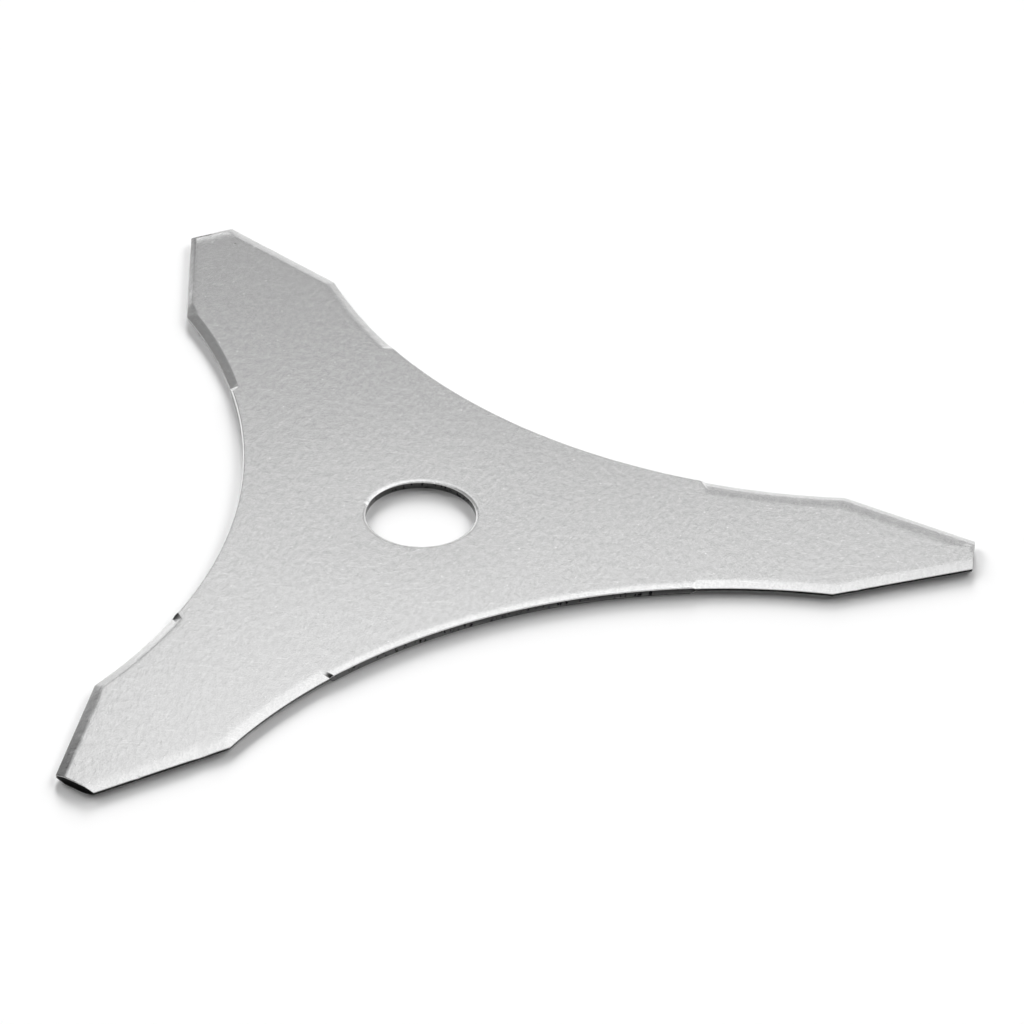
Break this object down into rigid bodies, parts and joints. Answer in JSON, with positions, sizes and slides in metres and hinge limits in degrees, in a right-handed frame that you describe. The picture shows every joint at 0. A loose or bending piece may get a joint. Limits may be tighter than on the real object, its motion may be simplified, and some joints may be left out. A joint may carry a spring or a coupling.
{
  "type": "brush cutter blade",
  "caption": "Flat steel brush cutter blade: blunt tapered teeth around a plain centre bore, concave flanks, and bevels pressed into both faces along the teeth.",
  "frame": {"origin": "centre of the bore, on the underside of the blade", "axes": "+Z along the bore's axis, up from the underside to the face with the rolled rims; +X out along one tooth"},
  "size_m": [0.1957, 0.226, 0.002],
  "materials": {
    "zinc_plated_steel": "zinc-plated sheet steel, satin"
  },
  "bodies": {
    "root": {"blade": "zinc_plated_steel"}
  },
  "joints": []
}
